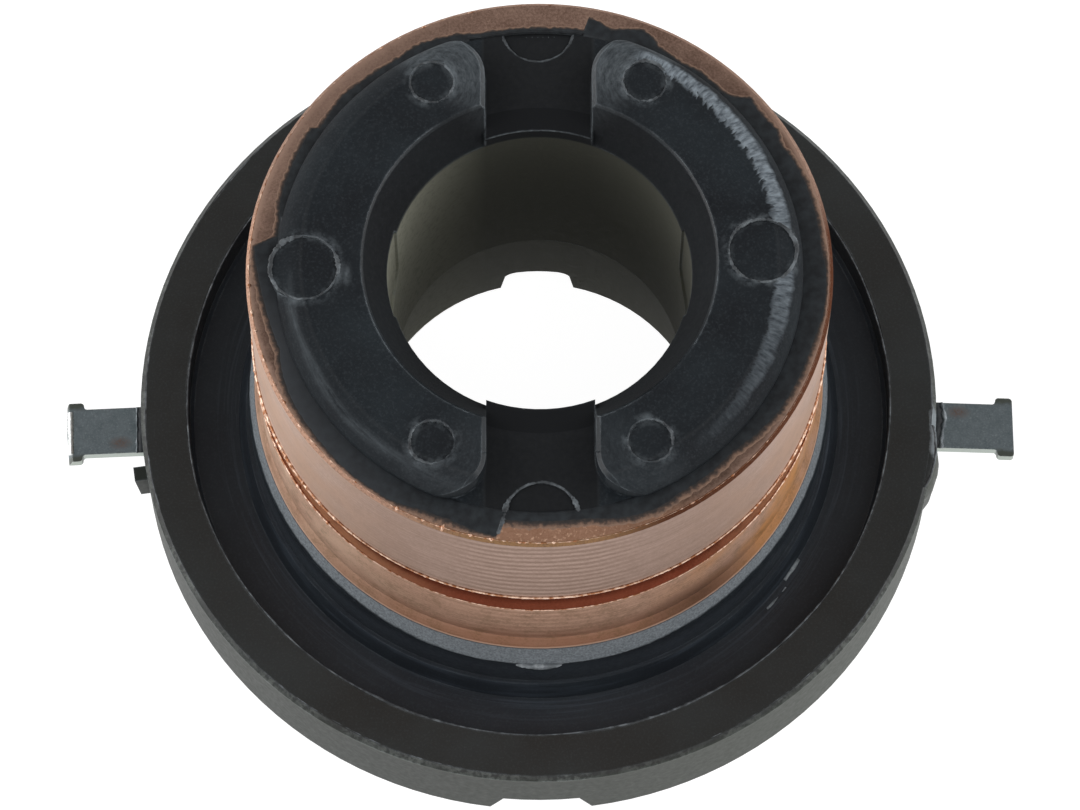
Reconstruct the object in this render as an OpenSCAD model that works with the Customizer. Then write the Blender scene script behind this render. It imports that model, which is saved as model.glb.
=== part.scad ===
// Alternator slip ring: a moulded hub with a dished flange, two copper rings and two terminals.
// Millimetres. The origin is the centre of the bore on the rear seat, and +Z leads to the front.
// Seen from the front the terminals lie along X and the two face channels along Y.

/* [Bore] */
// Diameter of the shaft bore
bore_d = 17; // [16:0.1:17.6]
// Diameter of the flared mouth on the rear seat
mouth_d = 20.5; // [18.6:0.1:21.4]
// Height of the flare above the rear seat
flare_h = 11.2; // [6:0.1:13]
// Radial step between the flare and the bore wall
flare_step = 0.2; // [0.1:0.05:0.4]
// Width of the thumb-shaped relief at each side of the bore
relief_w = 5.2; // [3:0.1:6.4]
// Length of the reliefs below the throat
relief_l = 7.5; // [4.5:0.1:9]
// Depth of the reliefs into the bore wall
relief_depth = 0.15; // [0.1:0.05:0.3]

/* [Front face] */
// Height of the hub from the rear seat to the floor of the channel
hub_h = 27.35; // [26.2:0.05:34]
// Diameter of the throat where it opens through the pads
throat_d = 19.9; // [18.8:0.1:21]
// Depth of the throat taper below the pads
throat_h = 2.3; // [1.8:0.1:3.4]
// Height of the pads above the floor of the channel
pad_h = 1.45; // [0.9:0.05:1.9]
// Width of the channel across the front face
channel_w = 6.1; // [4.5:0.1:7.5]
// Radius of the pad corners at the outer end of the channel
pad_corner = 2.2; // [1.2:0.1:2.8]
// Bevel along the top edges of the pads
pad_bevel = 0.25; // [0.1:0.05:0.4]

/* [Ejector marks] */
// Depth of every ejector mark
mark_depth = 0.12; // [0.05:0.01:0.25]
// Diameter of the four small marks on the pads
small_mark_d = 2.5; // [1.8:0.1:2.8]
// Distance of the small marks from the axis
small_mark_r = 12.5; // [12:0.1:12.9]
// Angle of the small marks from the X axis
small_mark_angle = 61; // [55:1:62]
// Diameter of the two large marks
large_mark_d = 3.8; // [3:0.1:4.2]
// Distance of the large marks from their common middle
large_mark_r = 12.9; // [12.3:0.1:13.2]
// Sideways offset of the middle between the large marks
large_mark_shift = -0.35; // [-0.5:0.05:0.5]
// Turn of the line through the large marks
large_mark_turn = 1.9; // [-4:0.1:4]
// Diameter of the half round marks in the channel
channel_mark_d = 4.1; // [3:0.1:4.3]

/* [Rings] */
// Outer diameter of both slip rings
ring_d = 33.2; // [32:0.1:34.5]
// Wall of the slip rings
ring_wall = 1.7; // [1.3:0.1:2]
// Width of the front slip ring
front_ring_w = 8.85; // [7.5:0.05:10.5]
// Width of the rear slip ring
rear_ring_w = 6.1; // [5.6:0.1:7]
// Width of the groove between the rings
groove_w = 2.2; // [1.6:0.1:3]
// Depth of the groove below the ring surface
groove_depth = 1.1; // [0.7:0.1:1.25]
// Bevel on the front edge of the front ring
ring_bevel = 0.22; // [0.1:0.02:0.3]
// Height of the taper that the turning tool leaves on the foot of the rear ring
ring_taper_h = 1; // [0.4:0.1:1.5]

/* [Collar and dish] */
// How far the collar stands out beyond the surface of the rings
collar_out = 0.8; // [0.5:0.05:1.2]
// Height of the same taper on the collar, from the foot of the rear ring down
taper_h = 1.45; // [0.8:0.05:2]
// Height of the foot between the dish floor and the collar
foot_h = 1.1; // [0.7:0.1:1.6]
// Width of the foot beyond the collar
foot_w = 0.75; // [0.5:0.05:1.1]
// Depth of the dish below the rim
dish_depth = 2.4; // [1.4:0.1:3]
// Diameter at the top of the conical gate stub on the collar
gate_d = 5; // [3:0.1:8]
// How far the gate stub stands out of the collar
gate_out = 0.35; // [0.2:0.05:0.6]

/* [Flange] */
// Outer diameter of the flange
flange_d = 47.9; // [46.6:0.1:52]
// Height of the flange from its rear face to the rim
flange_h = 6; // [5.6:0.05:7.4]
// Width of the flat rim
rim_w = 2.85; // [2:0.05:3.2]
// Bevel on the outer edge of the rim
rim_bevel = 0.27; // [0.15:0.01:0.5]
// Width of the rim notch at its top
rim_notch_w = 4.5; // [3:0.1:6]
// Height of the rim notch above the rear face
rim_notch_h = 1.95; // [1:0.05:2.5]
// Reach of the rim notch into the flange
rim_notch_l = 1.6; // [0.8:0.1:2.4]
// Width of the small lugs on the side of the flange
lug_w = 0.9; // [0.6:0.1:2]
// Height of the small lugs
lug_h = 2.4; // [1.6:0.1:4]
// Distance of the lugs from the middle of the terminals
lug_shift = 3.3; // [2.6:0.1:6]
// Draft by which the outer face of a lug leans in towards the rear
lug_draft = 0.22; // [0:0.02:0.36]
// How far the left lug stands out of the flange
left_lug_out = 0.8; // [0.4:0.05:1.2]
// How far the right lug stands out of the flange
right_lug_out = 0.45; // [0.4:0.05:1.2]

/* [Rear boss] */
// Diameter of the boss that seats against the rotor
boss_d = 26; // [24:0.1:30]
// Height of the boss behind the flange
boss_h = 0.9; // [0.6:0.05:2]
// Width of the key notch where it opens at the rear
key_w = 4.5; // [3:0.1:5]
// Height of the key notch
key_h = 3.1; // [1.8:0.05:3.4]
// Draft by which each side of the key notch leans inwards
key_draft = 0.25; // [0.1:0.05:0.4]
// Radius of the inner corners of the key notch
key_corner = 0.8; // [0.2:0.05:1]

/* [Terminals] */
// Width of the terminal strips
strip_w = 2.95; // [2.4:0.05:3.4]
// Thickness of the terminal strips
strip_t = 0.65; // [0.4:0.05:0.8]
// Height of the strips above the rear face of the flange
strip_rise = 0.35; // [0.2:0.05:0.6]
// How far the left terminal stands out of the flange
left_tab_l = 4.9; // [4:0.1:8]
// How far the right terminal stands out of the flange
right_tab_l = 5.1; // [4:0.1:8]
// Angle by which the terminals lean to the rear
tab_droop = 6; // [0:0.5:8]
// Width of the terminal head
head_w = 3.8; // [3.6:0.1:5]
// Length of the terminal head
head_l = 1.05; // [0.8:0.05:1.6]
// Radius where a strip widens into its head
head_fillet = 0.2; // [0.1:0.05:0.3]
// Width of the sheared edge on the end of the left head
shear_w = 0.26; // [0.1:0.02:0.4]
// Turn by which the sheared edge runs out of square
shear_turn = 5; // [0:0.5:6]
// Inner radius of the bends in the strips
bend_r = 0.4; // [0.2:0.05:0.5]
// Height over which a strip lies against its ring
contact_h = 4.5; // [3:0.1:4.6]
// Distance from the edge of a ring to the start of its contact
contact_in = 0.8; // [0.5:0.1:1]

/* [Hidden] */
$fn = 160;

// Overshoot of cutters past the faces that they cut
over = 1;
// Small bevel that breaks the sharp edges of the moulding
edge = 0.12;

bore_r = bore_d / 2;
ring_r = ring_d / 2;
ring_in_r = ring_r - ring_wall;
groove_r = ring_r - groove_depth;
collar_r = ring_r + collar_out;
foot_r = collar_r + foot_w;
flange_r = flange_d / 2;
dish_r = flange_r - rim_w;

// Heights above the rear seat
flange_z = boss_h;
rim_z = flange_z + flange_h;
dish_z = rim_z - dish_depth;
foot_z = dish_z + foot_h;
floor_z = hub_h;
front_z = floor_z - front_ring_w;
rear_top_z = front_z - groove_w;
ledge_z = rear_top_z - rear_ring_w;
collar_z = ledge_z - taper_h;
pad_z = floor_z + pad_h;
pad_root_z = floor_z - pad_h;
throat_z = pad_z - throat_h;

// Radius where the taper passes from the rear ring to the collar
ledge_r = ring_r + collar_out * ring_taper_h / (ring_taper_h + taper_h);

// Ledge of the foot, a third of its width, before its sloping side
foot_step = foot_w / 3;

// Terminal strips
strip_z = flange_z + strip_rise;
strip_top_z = strip_z + strip_t;
exit_r = flange_r + strip_t / 2;
left_tip_r = flange_r + left_tab_l;
right_tip_r = flange_r + right_tab_l;
// Thickness of the weld between the edge of a strip and the curved wall of its ring
weld_t = 0.1;
contact_r = sqrt(pow(ring_in_r, 2) - pow(strip_w / 2, 2)) - weld_t;
// The lead to the front ring climbs midway between the bore and the rings
climb_r = (mouth_d / 2 + ring_in_r + strip_t) / 2;

// Angle of the side lugs below the terminals
lug_angle = asin(lug_shift / flange_r);

// How far a terminal with its tip at radius tip_r has dropped there
function tab_drop(tip_r) = (tip_r - exit_r) * tan(tab_droop);

// Half section of the hub, collar and flange
module body_section() {
    polygon([
        [mouth_d / 2, 0],
        [bore_r + flare_step, flare_h],
        [bore_r, flare_h],
        [bore_r, floor_z],
        [ring_in_r, floor_z],
        [ring_in_r, front_z],
        [groove_r, front_z],
        [groove_r, rear_top_z],
        [ring_in_r, rear_top_z],
        [ring_in_r, ledge_z],
        [ledge_r, ledge_z],
        [collar_r, collar_z],
        [collar_r, foot_z],
        [collar_r + foot_step, foot_z],
        [foot_r, dish_z],
        [dish_r - 2 * edge, dish_z],
        [dish_r, dish_z + 2 * edge],
        [dish_r, rim_z - edge],
        [dish_r + edge, rim_z],
        [flange_r - rim_bevel, rim_z],
        [flange_r, rim_z - rim_bevel],
        [flange_r, flange_z],
        [boss_d / 2, flange_z],
        [boss_d / 2, edge],
        [boss_d / 2 - edge, 0]
    ]);
}

// Half section of the pads: a block, rooted in the hub, whose outer edge is a quarter round
module pad_section() {
    round_r = ring_in_r - pad_h;
    translate([0, pad_root_z])
        square([round_r, pad_z - pad_root_z]);
    translate([0, pad_root_z])
        square([ring_in_r, pad_h]);
    intersection() {
        translate([round_r, floor_z])
            circle(r = pad_h);
        translate([round_r, floor_z])
            square([pad_h, pad_h]);
    }
}

// Centre of the rounded corner of a pad, found from the channel wall and the hub
corner_x = channel_w / 2 + pad_corner;
corner_y = sqrt(pow(ring_in_r - pad_corner, 2) - pow(corner_x, 2));
corner_angle = atan2(corner_y, corner_x);

// Outline of one pad from the front, with its outer corners rounded
module pad_outline() {
    intersection() {
        circle(r = ring_in_r);
        union() {
            translate([channel_w / 2, -corner_y])
                square([ring_r, 2 * corner_y]);
            for (s = [-1, 1])
                translate([corner_x, s * corner_y])
                    circle(r = pad_corner);
            polygon([
                [corner_x, -corner_y],
                2 * [corner_x, -corner_y],
                [ring_d, 0],
                2 * [corner_x, corner_y],
                [corner_x, corner_y]
            ]);
        }
    }
}

// Bevel cut along the channel wall of a pad and round its corners
module pad_bevel_cut() {
    bevel = [[-over, 0], [0, 0], [pad_bevel, pad_bevel], [pad_bevel, over], [-over, over]];
    translate([channel_w / 2, corner_y, pad_z - pad_bevel])
        rotate([90, 0, 0])
            linear_extrude(2 * corner_y)
                polygon(bevel);
    for (s = [0, 1])
        mirror([0, s, 0])
            translate([corner_x, corner_y, pad_z - pad_bevel])
                rotate([0, 0, corner_angle])
                    rotate_extrude(angle = 180 - corner_angle)
                        polygon([for (p = bevel) [pad_corner - p.x, p.y]]);
}

// One raised pad
module pad() {
    difference() {
        intersection() {
            rotate_extrude()
                pad_section();
            translate([0, 0, pad_root_z])
                linear_extrude(pad_z)
                    pad_outline();
        }
        pad_bevel_cut();
    }
}

// The throat tapers down to the bore between the walls of the channel
module throat_cut() {
    taper = (throat_d / 2 - bore_r) / (pad_z - edge - throat_z);
    intersection() {
        rotate_extrude()
            polygon([
                [0, throat_z - over],
                [bore_r - over * taper, throat_z - over],
                [throat_d / 2, pad_z - edge],
                [throat_d / 2 + edge + over, pad_z + over],
                [0, pad_z + over]
            ]);
        for (s = [0, 1])
            mirror([s, 0, 0])
                translate([channel_w / 2, -ring_r, 0])
                    cube([ring_r, ring_d, pad_z + 2 * over]);
    }
}

// Place children at the two large ejector marks
module at_large_marks() {
    translate([large_mark_shift, 0, 0])
        rotate([0, 0, large_mark_turn])
            for (s = [-1, 1])
                translate([s * large_mark_r, 0, 0])
                    children();
}

// Place children at the four small ejector marks
module at_small_marks() {
    for (a = [small_mark_angle, 180 - small_mark_angle, 180 + small_mark_angle, -small_mark_angle])
        rotate([0, 0, a])
            translate([small_mark_r, 0, 0])
                children();
}

module ejector_marks_cut() {
    translate([0, 0, pad_z - mark_depth]) {
        at_small_marks()
            cylinder(d = small_mark_d, h = over);
        at_large_marks()
            cylinder(d = large_mark_d, h = over);
    }
    for (s = [-1, 1])
        translate([0, s * ring_in_r, floor_z - mark_depth])
            cylinder(d = channel_mark_d, h = over);
}

// The large marks stand as flat stubs where the pads round off
module large_mark_stubs() {
    translate([0, 0, floor_z])
        at_large_marks()
            cylinder(d = large_mark_d, h = pad_h - mark_depth);
}

// Thumb-shaped reliefs at both sides of the bore, open to the throat
module relief_cut() {
    intersection() {
        cylinder(r = bore_r + relief_depth, h = throat_z + over);
        translate([-ring_r, 0, throat_z - relief_l])
            rotate([90, 0, 90])
                linear_extrude(ring_d) {
                    translate([0, relief_w / 2])
                        circle(d = relief_w);
                    translate([-relief_w / 2, relief_w / 2])
                        square([relief_w, relief_l]);
                }
    }
}

// Key notch through the wall of the rear boss at 12 o'clock
module key_cut() {
    inner_w = key_w - 2 * key_draft;
    translate([0, boss_d / 2 + over, 0])
        rotate([90, 0, 0])
            linear_extrude(boss_d / 2 + over - bore_r) {
                for (s = [-1, 1])
                    translate([s * (inner_w / 2 - key_corner), key_h - key_corner])
                        circle(r = key_corner);
                translate([key_corner - inner_w / 2, 0])
                    square([inner_w - 2 * key_corner, key_h]);
                polygon([
                    [-key_w / 2, -over],
                    [-key_w / 2, 0],
                    [-inner_w / 2, key_h - key_corner],
                    [inner_w / 2, key_h - key_corner],
                    [key_w / 2, 0],
                    [key_w / 2, -over]
                ]);
            }
}

// Notch in the rear edge of the rim at 6 o'clock, with sloping ends
module rim_notch_cut() {
    slope = 0.4 * rim_notch_h;
    translate([0, rim_notch_l - flange_r, flange_z])
        rotate([90, 0, 0])
            linear_extrude(rim_notch_l + over)
                polygon([
                    [-rim_notch_w / 2 - slope, -over],
                    [-rim_notch_w / 2 - slope, 0],
                    [-rim_notch_w / 2, rim_notch_h],
                    [rim_notch_w / 2, rim_notch_h],
                    [rim_notch_w / 2 + slope, 0],
                    [rim_notch_w / 2 + slope, -over]
                ]);
}

// Small lug low on the side of the flange, below the right terminal or mirrored below the left
module side_lug(out) {
    rotate([0, 0, -lug_angle])
        translate([flange_r, lug_w / 2, flange_z])
            rotate([90, 0, 0])
                linear_extrude(lug_w)
                    polygon([[-over, 0], [out - lug_draft, 0], [out, lug_h], [-over, lug_h]]);
}

// Conical stub that the gate leaves on the collar at 6 o'clock, running out at the foot
module gate_stub() {
    translate([0, gate_d / 2 - gate_out - collar_r, foot_z])
        cylinder(d1 = gate_d - 2 * gate_out, d2 = gate_d, h = collar_z - foot_z);
}

// Quarter bend of a strip about the centre [x, z], in one of the four quadrants
module strip_bend(x, z, quadrant) {
    translate([x, z])
        rotate(90 * quadrant)
            intersection() {
                difference() {
                    circle(r = bend_r + strip_t);
                    circle(r = bend_r);
                }
                square(bend_r + strip_t);
            }
}

// Side view of a strip from the foot of its lead at radius r to the tip of its terminal
module foot_and_tab(r, tip_r) {
    drop = tab_drop(tip_r);
    strip_bend(r + bend_r, strip_top_z + bend_r, 2);
    polygon([
        [r + bend_r, strip_z],
        [exit_r, strip_z],
        [tip_r, strip_z - drop],
        [tip_r, strip_top_z - drop],
        [exit_r, strip_top_z],
        [r + bend_r, strip_top_z]
    ]);
}

// Upright part of a lead whose outer face is at radius r
module upright(r, z_from, z_to) {
    translate([r - strip_t, z_from])
        square([strip_t, z_to - z_from]);
}

// Side view of the lead that rises straight to the rear ring
module rear_lead_view() {
    foot_and_tab(contact_r, right_tip_r);
    upright(contact_r, strip_top_z + bend_r, ledge_z + contact_in + contact_h);
}

// Side view of the lead that climbs behind the rear ring and steps out to the front ring
module front_lead_view() {
    step_z = front_z - strip_t - 2 * bend_r;
    foot_and_tab(climb_r, left_tip_r);
    upright(climb_r, strip_top_z + bend_r, step_z);
    strip_bend(climb_r + bend_r, step_z, 1);
    translate([climb_r + bend_r, step_z + bend_r])
        square([contact_r - climb_r - strip_t - 2 * bend_r, strip_t]);
    strip_bend(contact_r - strip_t - bend_r, front_z, 3);
    upright(contact_r, front_z, front_z + contact_in + contact_h);
}

// Plan of a strip, straight and then widened to its T-shaped head
module strip_plan(tip_r) {
    shoulder = (head_w - strip_w) / 2;
    fillet = min(head_fillet, shoulder / 2);
    corner = min(shoulder - fillet, head_l / 2);
    translate([0, -strip_w / 2])
        square([tip_r, strip_w]);
    difference() {
        translate([tip_r - head_l - fillet, -strip_w / 2 - fillet])
            square([2 * fillet, strip_w + 2 * fillet]);
        for (s = [-1, 1])
            translate([tip_r - head_l - fillet, s * (strip_w / 2 + fillet)])
                circle(r = fillet);
    }
    translate([tip_r - head_l + corner, -head_w / 2])
        square([head_l - 2 * corner, head_w]);
    translate([tip_r - head_l, corner - head_w / 2])
        square([head_l, head_w - 2 * corner]);
    for (x = [tip_r - head_l + corner, tip_r - corner])
        for (s = [-1, 1])
            translate([x, s * (head_w / 2 - corner)])
                circle(r = corner);
}

// A lead and its terminal along +X. Extra makes it a cutter that opens through the hub wall.
module strip(ring_z, tip_r, extra) {
    intersection() {
        translate([0, head_w, 0])
            rotate([90, 0, 0])
                linear_extrude(2 * head_w)
                    children();
        translate([0, 0, -over])
            linear_extrude(pad_z)
                strip_plan(tip_r);
    }
    intersection() {
        cylinder(r = ring_in_r + extra, h = pad_z);
        translate([contact_r - strip_t / 2, -strip_w / 2, ring_z + contact_in])
            cube([ring_wall + strip_t, strip_w, contact_h]);
    }
}

module left_strip(extra) {
    mirror([1, 0, 0])
        strip(front_z, left_tip_r, extra)
            front_lead_view();
}

module right_strip(extra) {
    strip(ledge_z, right_tip_r, extra)
        rear_lead_view();
}

// Wedge cut along the top of the left head, where the strip was sheared off
module shear_cut() {
    translate([-left_tip_r, 0, strip_z - tab_drop(left_tip_r)])
        rotate([90, 0, shear_turn])
            translate([0, 0, -head_w])
                linear_extrude(2 * head_w)
                    polygon([
                        [0, 0],
                        [shear_w, strip_t],
                        [shear_w + over, strip_t * (1 + over / shear_w)],
                        [-over, strip_t * (1 + over / shear_w)],
                        [-over, 0]
                    ]);
}

module moulded_body() {
    color("#23272b")
        difference() {
            union() {
                rotate_extrude()
                    body_section();
                difference() {
                    for (s = [0, 1])
                        mirror([s, 0, 0])
                            pad();
                    cylinder(r = bore_r, h = pad_z + over);
                }
                large_mark_stubs();
                side_lug(right_lug_out);
                mirror([1, 0, 0])
                    side_lug(left_lug_out);
                gate_stub();
            }
            throat_cut();
            ejector_marks_cut();
            relief_cut();
            key_cut();
            rim_notch_cut();
            left_strip(ring_wall / 4);
            right_strip(ring_wall / 4);
        }
}

// A slip ring turned from its half section and set on height z
module slip_ring(z) {
    translate([0, 0, z])
        rotate_extrude()
            children();
}

// The front ring has a bevel along its front edge
module front_slip_ring() {
    color("#a58474")
        slip_ring(front_z)
            polygon([
                [ring_in_r, 0],
                [ring_r, 0],
                [ring_r, front_ring_w - ring_bevel],
                [ring_r - ring_bevel, front_ring_w],
                [ring_in_r, front_ring_w]
            ]);
}

// The rear ring keeps a sharp front edge and widens at its foot, where the turning tool ran out
module rear_slip_ring() {
    color("#8e6248")
        slip_ring(ledge_z)
            polygon([
                [ring_in_r, 0],
                [ledge_r, 0],
                [ring_r, ring_taper_h],
                [ring_r, rear_ring_w],
                [ring_in_r, rear_ring_w]
            ]);
}

module left_terminal() {
    color("#7d878c")
        difference() {
            left_strip(0);
            shear_cut();
        }
}

module right_terminal() {
    color("#7d878c")
        right_strip(0);
}

moulded_body();
front_slip_ring();
rear_slip_ring();
left_terminal();
right_terminal();
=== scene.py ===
import math
from functools import partial

import bmesh
import bpy
import numpy as np
from mathutils import Matrix, Vector


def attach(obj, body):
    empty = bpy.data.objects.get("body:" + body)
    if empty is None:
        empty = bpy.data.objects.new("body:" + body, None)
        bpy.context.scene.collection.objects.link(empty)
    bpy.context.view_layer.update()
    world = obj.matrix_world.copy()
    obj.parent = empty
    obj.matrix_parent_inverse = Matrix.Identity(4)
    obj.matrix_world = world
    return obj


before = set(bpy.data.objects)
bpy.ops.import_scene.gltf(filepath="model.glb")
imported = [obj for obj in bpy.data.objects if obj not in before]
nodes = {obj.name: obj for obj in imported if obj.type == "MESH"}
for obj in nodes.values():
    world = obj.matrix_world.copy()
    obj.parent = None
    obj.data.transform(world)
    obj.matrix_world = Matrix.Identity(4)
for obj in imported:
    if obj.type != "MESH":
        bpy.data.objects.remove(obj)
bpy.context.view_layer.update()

scene = bpy.context.scene
mm = 0.001

# heights in mm of faces of the CAD model that small pieces lie on
padHeight = 28.8
channelHeight = 27.35
collarHeight = 8.75
rimHeight = 6.9
dishHeight = 4.5

# places and radii in mm of the ejector marks: a small one near each corner of the pads, and two large ones
markX, markY, smallRadius = 6.06, 10.93, 1.25
leftMark, rightMark, largeRadius = (-13.24, -0.43), (12.54, 0.43), 1.9


def linearColour(hexText):
    # sRGB hex to the linear colour that a shader socket takes
    parts = [int(hexText[i:i + 2], 16) / 255 for i in (1, 3, 5)]
    return tuple(c / 12.92 if c <= 0.04045 else ((c + 0.055) / 1.055) ** 2.4 for c in parts) + (1.0,)


def addNode(tree, kind, inputs=None, **settings):
    # One shader node with its settings. An input is a number, a vector, a hex colour or an output of a node.
    node = tree.nodes.new("ShaderNode" + kind)
    for key, value in settings.items():
        setattr(node, key, value)
    for key, value in (inputs or {}).items():
        if isinstance(value, bpy.types.NodeSocket):
            tree.links.new(value, node.inputs[key])
        else:
            node.inputs[key].default_value = linearColour(value) if isinstance(value, str) else value
    return node.outputs


def newMaterial(name):
    # an empty material, and addNode bound to its node tree
    material = bpy.data.materials.new(name)
    material.use_nodes = True
    material.node_tree.nodes.clear()
    return material, partial(addNode, material.node_tree)


def measures(node, noises):
    # What masks are measured on: the object coordinates in millimetres, their parts, the distance from the
    # axis of the bore, and noises, each with the size of its lumps in mm, its detail and its roughness.
    metres = node("TexCoord")["Object"]
    place = node("VectorMath", {0: metres, 1: (1000, 1000, 1000)}, operation="MULTIPLY")[0]
    x, y, z = node("SeparateXYZ", {0: place})
    flat = node("VectorMath", {0: place, 1: (1, 1, 0)}, operation="MULTIPLY")[0]
    at = {"place": place, "x": x, "y": y, "z": z, "aside": node("Math", {0: x}, operation="ABSOLUTE")[0],
          "radius": node("VectorMath", {0: flat}, operation="LENGTH")["Value"]}
    for name, (size, detail, rough) in noises.items():
        at[name] = node("TexNoise", {"Vector": place, "Scale": 1 / size, "Detail": detail,
                                     "Roughness": rough})["Fac"]
    return at


def distanceFrom(node, at, centre, stretch):
    # the distance from a place in mm, with each axis stretched
    apart = node("VectorMath", {0: at["place"], 1: centre}, operation="SUBTRACT")[0]
    apart = node("VectorMath", {0: apart, 1: stretch}, operation="MULTIPLY")[0]
    return node("VectorMath", {0: apart}, operation="LENGTH")["Value"]


def edgeTurn(node, radius):
    # 1 on a smooth face, and less where an edge, if rounded by the radius in mm, would turn the normal
    rounded = node("Bevel", {"Radius": radius * mm}, samples=4)[0]
    sharp = node("NewGeometry")["Normal"]
    return node("VectorMath", {0: rounded, 1: sharp}, operation="DOT_PRODUCT")["Value"]


def addMasks(node, at, masks):
    # Each mask is the product of its ramps: what is measured, where the ramp is 0 and where it is 1.
    for name, ramps in masks.items():
        at[name] = 1.0
        for measure, zero, one in ramps:
            at[name] = node("MapRange", {0: at[measure], 1: zero, 2: one, 4: at[name]})[0]


def addTones(node, at, tones, table):
    # Each tone is a colour with layers over it, in turn: a mask, its strength, and a hex colour or the name
    # of a tone. A layer is left out where there is no tone of that name.
    for name, (colour, layers) in table.items():
        tones[name] = tones.get(colour, colour)
        for mask, strength, tone in layers:
            if tone[0] == "#" or tone in tones:
                share = node("Math", {0: at[mask], 1: strength}, operation="MULTIPLY")[0]
                tones[name] = node("Mix", {0: share, 6: tones[name], 7: tones.get(tone, tone)},
                                   data_type="RGBA")[2]


def gridPiece(name, points, material, closedAlong=False):
    # points is an array (along, across, 3) in millimetres. Every row is a closed section, neighbouring rows
    # are joined by quads, and an open run gets a flat cap at each end.
    along, across = points.shape[:2]
    index = np.arange(along * across).reshape(along, across)
    nextAlong = np.roll(index, -1, axis=0)
    quads = np.stack([index, nextAlong, np.roll(nextAlong, -1, axis=1), np.roll(index, -1, axis=1)], axis=2)
    if not closedAlong:
        quads = quads[:-1]
    faces = quads.reshape(-1, 4).tolist()
    if not closedAlong:
        faces += [index[0].tolist(), index[-1][::-1].tolist()]
    mesh = bpy.data.meshes.new(name)
    mesh.from_pydata((points.reshape(-1, 3) * mm).tolist(), [], faces)
    outward = bmesh.new()
    outward.from_mesh(mesh)
    bmesh.ops.recalc_face_normals(outward, faces=outward.faces)
    outward.to_mesh(mesh)
    outward.free()
    mesh.materials.append(material)
    mesh.shade_smooth()
    piece = bpy.data.objects.new(name, mesh)
    scene.collection.objects.link(piece)
    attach(piece, "root")
    return piece


def ripple(angles, seed, waves, size):
    # a sum of sines with whole numbers of turns and random phases, so that it closes on itself
    draw = np.random.default_rng(seed)
    phases = draw.uniform(0, 2 * np.pi, len(waves))
    weights = draw.uniform(0.4, 1.0, len(waves))
    return size * (np.sin(np.outer(angles, waves) + phases) * weights).mean(axis=1)


def outwards(angles):
    # a unit vector away from the axis for each angle
    return np.stack([np.cos(angles), np.sin(angles), np.zeros_like(angles)], axis=1)


def sections(angles, radii, heights):
    # the points of a section at each angle, from their distances from the axis and their heights
    points = outwards(angles)[:, None] * radii[:, :, None]
    points[:, :, 2] = heights
    return points


def bumps(degrees, peaks):
    # the largest of several bell curves over the angle, each with its middle, spread and height
    middle, spread, height = np.array(peaks, float).T
    apart = (degrees[:, None] - middle + 180) % 360 - 180
    return (height * np.exp(-(apart / spread) ** 2)).max(axis=1)


def addRidge(name, path, side, width, height, sink, material, closed=False):
    # A low ridge along a path: half a sine arch across the side vector, over a base sunk below the surface.
    across = np.linspace(-0.5, 0.5, 7)
    rows = path[:, None] + side[:, None] * (across * width[:, None])[:, :, None]
    rows[:, :, 2] += (height + sink)[:, None] * np.cos(np.pi * across) - sink
    base = rows[:, [-1, 0]] - (0, 0, 0.03)
    return gridPiece(name, np.concatenate([rows, base], axis=1), material, closedAlong=closed)


view = {
    "lens": 172.0,
    "place": (-1.65, -111.19, 296.8),   # mm
    "down": 69.09,                      # degrees below the horizon
    "turn": 0.85,                       # degrees about Z
    "roll": -0.458,                     # degrees of picture content, counterclockwise
    "shift": 0.0014,
}


def addCamera():
    down, turn, roll = (math.radians(view[key]) for key in ("down", "turn", "roll"))
    forward = Vector((math.cos(down) * math.sin(turn), math.cos(down) * math.cos(turn), -math.sin(down)))
    right = Vector((math.cos(turn), -math.sin(turn), 0))
    up = right.cross(forward)
    pictureRight = right * math.cos(roll) - up * math.sin(roll)
    pictureUp = right * math.sin(roll) + up * math.cos(roll)
    data = bpy.data.cameras.new("photoCamera")
    data.lens = view["lens"]
    data.sensor_width = 36
    data.sensor_fit = "HORIZONTAL"
    data.shift_x = view["shift"]
    data.clip_start = 0.01
    data.clip_end = 10
    camera = bpy.data.objects.new("photoCamera", data)
    axes = Matrix((pictureRight, pictureUp, -forward)).transposed().to_4x4()
    camera.matrix_world = Matrix.Translation(Vector(view["place"]) * mm) @ axes
    scene.collection.objects.link(camera)
    scene.camera = camera


addCamera()
scene.view_settings.view_transform = "Standard"
print("camera placed")


studio = {
    "floorColour": "#e6e6e6",
    "floorHalf": 3.0,          # m
    "floorHeight": -2e-5,      # m, just below the part
    "floorGlow": 0.97,         # what the floor shows to the camera and to reflections
    "floorShade": 0.3,         # how much the object's shadow shows on top of that
    "zenith": 0.25,
    "horizon": 0.65,
    "aim": (0, 0, 0.015),      # m, where the lamps point
    # name: (place in m, width, height, power in W)
    "lamps": {
        "rightSoftbox": ((0.56, 0.08, 0.28), 0.8, 0.5, 2.0),
        "leftSoftbox": ((-0.57, 0.12, 0.28), 0.8, 0.5, 2.6),
        "frontSoftbox": ((-0.12, -0.6, 0.26), 0.9, 0.4, 0.45),
        "hood": ((0.1, -0.35, 0.8), 0.6, 0.4, 1.1),
    },
}


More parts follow.
